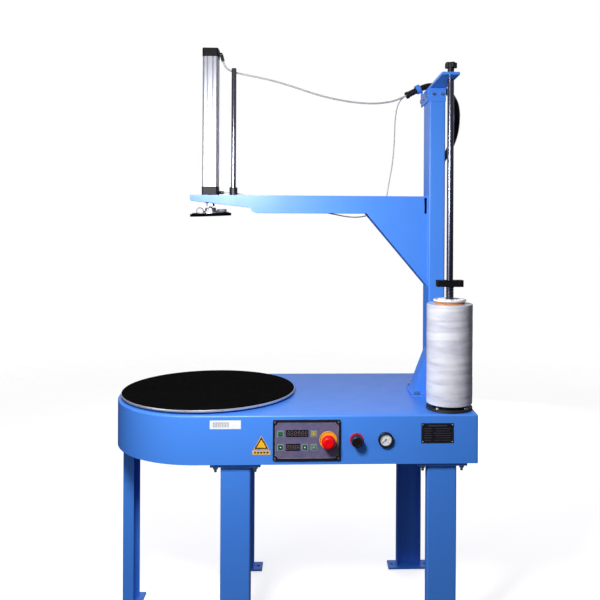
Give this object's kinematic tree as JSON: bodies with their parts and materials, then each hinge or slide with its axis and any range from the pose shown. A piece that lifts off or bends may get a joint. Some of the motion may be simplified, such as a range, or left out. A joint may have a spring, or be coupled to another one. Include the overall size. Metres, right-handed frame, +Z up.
{
  "type": "turntable stretch wrapper",
  "caption": "Table-height turntable stretch wrapper with a round-ended cabinet on channel legs, a film spindle, and a pneumatic press on a cantilever arm.",
  "frame": {"origin": "floor level, centre of the machine's box in plan, hoses and conduit left out", "axes": "+Z up, +Y to the back, +X to the right seen from the control side"},
  "size_m": [1.1323, 0.618, 1.831],
  "materials": {
    "blue_paint": "satin powder coat",
    "bare_steel": "machined",
    "mat_rubber": "matt",
    "drive_paint": "satin",
    "box_grey": "fine grain",
    "dark_iron": "oiled",
    "chrome_rod": "polished",
    "black_plastic": "moulded",
    "card": "spiral-wound paper board",
    "film": "stretch film",
    "white_plastic": "moulded",
    "spring_steel": "blackened",
    "black_metal": "black anodised",
    "tube_aluminium": "clear anodised",
    "cap_black": "black anodised",
    "hose_grey": "smooth",
    "conduit_black": "corrugated",
    "key_green": "moulded",
    "key_yellow": "moulded",
    "key_grey": "moulded",
    "stop_yellow": "moulded",
    "stop_red": "moulded",
    "needle_black": "painted",
    "bolt_steel": "zinc plated"
  },
  "bodies": {
    "frame": {"cabinet_shell": "blue_paint", "bottom_cover": "blue_paint", "leg_front_left": "blue_paint", "leg_front_right": "blue_paint", "leg_rear_left": "blue_paint", "leg_rear_right": "blue_paint", "leg_left_end": "blue_paint", "column": "blue_paint", "spindle_bracket": "blue_paint", "conduit_bracket": "blue_paint", "arm": "blue_paint", "bearing_housing": "bare_steel", "solenoid_valve": "bare_steel", "drive_belt": "mat_rubber", "gear_motor": "drive_paint", "controller_box": "drive_paint", "junction_box": "box_grey", "spindle_base": "dark_iron", "spindle_rod": "chrome_rod", "guide_bushing": "black_plastic", "air_fittings": "black_plastic", "control_panel": "black_plastic", "regulator_body": "black_plastic", "pressure_gauge": "black_plastic", "inlet_fittings": "black_plastic", "conduit_bush": "black_plastic", "brake_spring": "spring_steel", "cylinder_tube": "tube_aluminium", "cylinder_lower_cap": "cap_black", "cylinder_upper_cap": "cap_black", "upper_air_hose": "hose_grey", "lower_air_hose": "hose_grey", "conduit": "conduit_black", "stop_collar": "stop_yellow", "fasteners": "bolt_steel"},
    "turntable": {"turntable_disc": "bare_steel", "turntable_mat": "mat_rubber", "turntable_shaft": "bare_steel", "driven_pulley": "bare_steel"},
    "drive_pulley": {"drive_pulley": "bare_steel"},
    "press_carriage": {"piston_rod": "chrome_rod", "guide_rod": "chrome_rod", "press_yoke": "bare_steel"},
    "press_swivel": {"press_swivel": "bare_steel"},
    "press_plate": {"press_plate": "bare_steel", "press_pad": "mat_rubber"},
    "film_roll": {"film_core": "card", "film_roll": "film", "core_flange": "white_plastic"},
    "brake_block": {"brake_block": "black_metal"},
    "brake_screw": {"brake_screw": "black_metal"},
    "spindle_knob": {"spindle_knob": "black_plastic"},
    "regulator_knob": {"regulator_knob": "black_plastic"},
    "gauge_needle": {"gauge_needle": "needle_black"},
    "start_key": {"start_key": "key_green"},
    "stop_key": {"stop_key": "key_yellow"},
    "down_key": {"down_key": "key_green"},
    "up_key": {"up_key": "key_green"},
    "set_key": {"set_key": "key_grey"},
    "stop_button": {"stop_button": "stop_red"}
  },
  "joints": [
    {"name": "turntable_spin", "type": "hinge", "parent": "frame", "child": "turntable", "pos_m": [-0.269, 0.02, 0.71], "axis": [0, 0, 1], "continuous": true},
    {"name": "drive_pulley_spin", "type": "hinge", "parent": "frame", "child": "drive_pulley", "pos_m": [0.021, 0.02, 0.612], "axis": [0, 0, 1], "continuous": true},
    {"name": "press_slide", "type": "slide", "parent": "frame", "child": "press_carriage", "axis": [0, 0, -1], "range_m": [0, 0.35]},
    {"name": "press_tilt", "type": "hinge", "parent": "press_carriage", "child": "press_swivel", "pos_m": [-0.269, 0.02, 1.306], "axis": [0, 1, 0], "range_deg": [-1, 4.6]},
    {"name": "press_spin", "type": "hinge", "parent": "press_swivel", "child": "press_plate", "pos_m": [-0.269, 0.02, 1.306], "axis": [-0.0401, 0, 0.9992], "continuous": true},
    {"name": "roll_spin", "type": "hinge", "parent": "frame", "child": "film_roll", "pos_m": [0.485, -0.195, 0.868], "axis": [0, 0, 1], "continuous": true},
    {"name": "brake_slide", "type": "slide", "parent": "frame", "child": "brake_block", "axis": [0, 0, -1], "range_m": [0, 0.012], "deforming": ["brake_spring"]},
    {"name": "brake_screw_turn", "type": "hinge", "parent": "brake_block", "child": "brake_screw", "pos_m": [0.515, -0.21, 1.079], "axis": [0, -1, 0], "range_deg": [0, 360]},
    {"name": "knob_turn", "type": "hinge", "parent": "frame", "child": "spindle_knob", "pos_m": [0.485, -0.195, 1.73], "axis": [0, 0, 1], "range_deg": [0, 360]},
    {"name": "regulator_turn", "type": "hinge", "parent": "frame", "child": "regulator_knob", "pos_m": [0.199, -0.269, 0.628], "axis": [0, -1, 0], "range_deg": [-135, 135]},
    {"name": "needle_turn", "type": "hinge", "parent": "frame", "child": "gauge_needle", "pos_m": [0.284, -0.273, 0.628], "axis": [0, 1, 0], "range_deg": [0, 270], "stiffness_Nm_per_rad": 0.001},
    {"name": "start_key_press", "type": "slide", "parent": "frame", "child": "start_key", "axis": [0, 1, 0], "range_m": [0, 0.001], "stiffness_N_per_m": 600},
    {"name": "stop_key_press", "type": "slide", "parent": "frame", "child": "stop_key", "axis": [0, 1, 0], "range_m": [0, 0.001], "stiffness_N_per_m": 600},
    {"name": "down_key_press", "type": "slide", "parent": "frame", "child": "down_key", "axis": [0, 1, 0], "range_m": [0, 0.001], "stiffness_N_per_m": 600},
    {"name": "up_key_press", "type": "slide", "parent": "frame", "child": "up_key", "axis": [0, 1, 0], "range_m": [0, 0.001], "stiffness_N_per_m": 600},
    {"name": "set_key_press", "type": "slide", "parent": "frame", "child": "set_key", "axis": [0, 1, 0], "range_m": [0, 0.001], "stiffness_N_per_m": 600},
    {"name": "stop_press", "type": "slide", "parent": "frame", "child": "stop_button", "axis": [0, 1, 0], "range_m": [0, 0.004], "stiffness_N_per_m": 1500}
  ],
  "couplings": [
    {"joint": "drive_pulley_spin", "follows": "turntable_spin", "ratio": 4}
  ]
}
